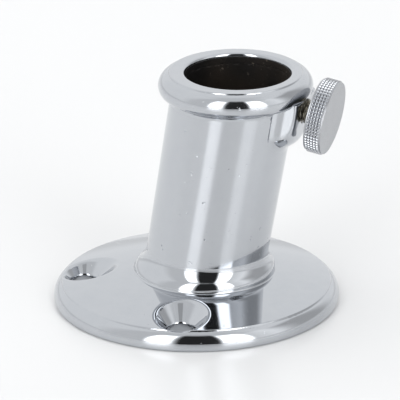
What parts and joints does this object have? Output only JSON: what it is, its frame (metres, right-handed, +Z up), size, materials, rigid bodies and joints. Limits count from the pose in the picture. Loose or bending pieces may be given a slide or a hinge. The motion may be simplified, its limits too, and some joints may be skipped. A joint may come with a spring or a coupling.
{
  "type": "stanchion base",
  "caption": "Chromed deck flange with a leaning socket for a stanchion pole, a rounded rim and a knurled thumbscrew that clamps the pole.",
  "frame": {"origin": "centre of the flange's underside, on the deck", "axes": "+Z up, away from the deck; +X the way the socket leans; the thumbscrew points towards +X and a little towards -Y"},
  "size_m": [0.0714, 0.07, 0.0599],
  "materials": {
    "polished_chrome": "polished",
    "satin_chrome": "satin",
    "stud_metal": "satin"
  },
  "bodies": {
    "socket_base": {"base_flange": "polished_chrome", "foot_collar": "polished_chrome", "socket_tube": "polished_chrome", "rim_ring": "polished_chrome", "screw_boss": "polished_chrome"},
    "screw_stud": {"thumbscrew_stud": "stud_metal"},
    "screw_head": {"thumbscrew_head": "satin_chrome"}
  },
  "joints": [
    {"name": "screw_travel", "type": "slide", "parent": "socket_base", "child": "screw_stud", "axis": [0.9654, -0.2045, -0.1616], "range_m": [-0.00225, 0.005]},
    {"name": "screw_turn", "type": "hinge", "parent": "screw_stud", "child": "screw_head", "pos_m": [0.03208, -0.00474, 0.05053], "axis": [0.9654, -0.2045, -0.1616], "range_deg": [-810, 1800]}
  ],
  "couplings": [
    {"joint": "screw_travel", "follows": "screw_turn", "m_per_rad": 0.00015915}
  ]
}
